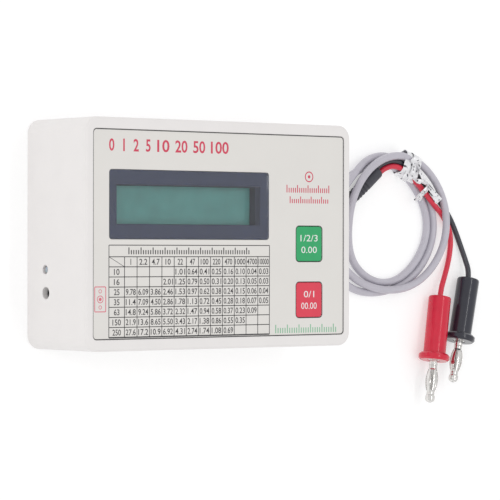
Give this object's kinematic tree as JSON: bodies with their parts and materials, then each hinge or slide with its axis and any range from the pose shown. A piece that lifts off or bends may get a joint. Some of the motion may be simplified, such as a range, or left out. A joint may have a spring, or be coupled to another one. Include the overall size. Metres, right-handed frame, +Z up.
{
  "type": "component tester",
  "caption": "Flat component tester in an off-white case with a display window, green and red keys, side supply socket, sliding battery door and a coiled cord with red and black plugs.",
  "frame": {"origin": "centre of the back of the case, on the surface it lies on", "axes": "+Z up out of the face, +X to the side where the cord leaves, +Y to the top of the face"},
  "size_m": [0.2146, 0.1071, 0.037],
  "materials": {
    "case_plastic": "off-white ABS, faint moulded texture",
    "door_plastic": "off-white ABS",
    "label_film": "printed satin overlay film",
    "window_clear": "clear acrylic",
    "window_border": "printed dark blue-grey border",
    "bezel_metal": "black painted steel frame",
    "lcd_green": "grey-green display glass",
    "light_guide": "milky light guide",
    "board_green": "green solder mask on glass fibre",
    "black_plastic": "black moulded plastic",
    "pin_gold": "gold-flashed pins",
    "chip_black": "black epoxy",
    "can_sleeve": "dark shrink sleeve",
    "can_metal": "plain can",
    "resistor_body": "tan lacquer",
    "socket_black": "black moulded socket",
    "contact_nickel": "bright nickel",
    "lamp_lens": "tinted clear lamp",
    "battery_wrap": "printed film jacket",
    "wire_red": "red wire",
    "wire_black": "black wire",
    "screw_steel": "zinc-plated steel",
    "gland_rubber": "black moulded rubber",
    "cord_grey": "grey PVC jacket",
    "boot_rubber": "black moulded boot",
    "lead_red": "red PVC",
    "lead_black": "black PVC",
    "tie_foil": "crumpled silver strip",
    "key_green": "green printed key",
    "key_red": "red printed key",
    "plunger_black": "black stem",
    "switch_metal": "switch body",
    "sleeve_red": "glossy red sleeve",
    "sleeve_black": "glossy black sleeve",
    "plug_nickel": "bright nickel"
  },
  "bodies": {
    "case": {"case_body": "case_plastic", "back_cover": "case_plastic", "face_label": "label_film", "window_lens": "window_clear", "window_mask": "window_border", "lcd_bezel": "bezel_metal", "lcd_glass": "lcd_green", "lcd_light": "light_guide", "lcd_board": "board_green", "header_strip": "black_plastic", "header_pins": "pin_gold", "main_board": "board_green", "chip_socket": "black_plastic", "controller_chip": "chip_black", "capacitors": "can_sleeve", "crystal_can": "can_metal", "resistors": "resistor_body", "side_board": "board_green", "power_socket": "socket_black", "socket_pin": "contact_nickel", "power_lamp": "lamp_lens", "lamp_legs": "contact_nickel", "battery": "battery_wrap", "battery_terminals": "contact_nickel", "battery_snap": "black_plastic", "battery_wire_red": "wire_red", "battery_wire_black": "wire_black", "supply_wire_red": "wire_red", "supply_wire_black": "wire_black", "case_screws": "screw_steel", "display_screws": "screw_steel", "board_screws": "screw_steel", "side_board_screws": "screw_steel", "cord_gland": "gland_rubber", "cord_tail": "cord_grey", "tail_wire_red": "wire_red", "tail_wire_black": "wire_black", "cord_lead_in": "cord_grey", "cord_coil": "cord_grey", "cable_boot": "boot_rubber", "red_lead": "lead_red", "black_lead": "lead_black", "coil_tie": "tie_foil", "green_key_switch": "switch_metal", "red_key_switch": "switch_metal", "red_plug_sleeve": "sleeve_red", "red_plug_pin": "plug_nickel", "black_plug_sleeve": "sleeve_black", "black_plug_pin": "plug_nickel"},
    "green_key": {"green_key": "key_green", "green_key_plunger": "plunger_black"},
    "red_key": {"red_key": "key_red", "red_key_plunger": "plunger_black"},
    "battery_door": {"battery_door": "door_plastic"},
    "red_cage": {"red_plug_cage": "plug_nickel"},
    "black_cage": {"black_plug_cage": "plug_nickel"}
  },
  "joints": [
    {"name": "green_key_press", "type": "slide", "parent": "case", "child": "green_key", "axis": [0, 0, -1], "range_m": [0, 0.0005], "stiffness_N_per_m": 600},
    {"name": "red_key_press", "type": "slide", "parent": "case", "child": "red_key", "axis": [0, 0, -1], "range_m": [0, 0.0005], "stiffness_N_per_m": 600},
    {"name": "battery_door_slide", "type": "slide", "parent": "case", "child": "battery_door", "axis": [0, -1, 0], "range_m": [0, 0.055]},
    {"name": "red_plug_cage_turn", "type": "hinge", "parent": "case", "child": "red_cage", "pos_m": [0.12836, -0.05725, 0.00694], "axis": [-0.1954, -0.978, 0.0731], "continuous": true},
    {"name": "black_plug_cage_turn", "type": "hinge", "parent": "case", "child": "black_cage", "pos_m": [0.14144, -0.04968, 0.00694], "axis": [-0.2665, -0.9611, 0.0731], "continuous": true}
  ]
}
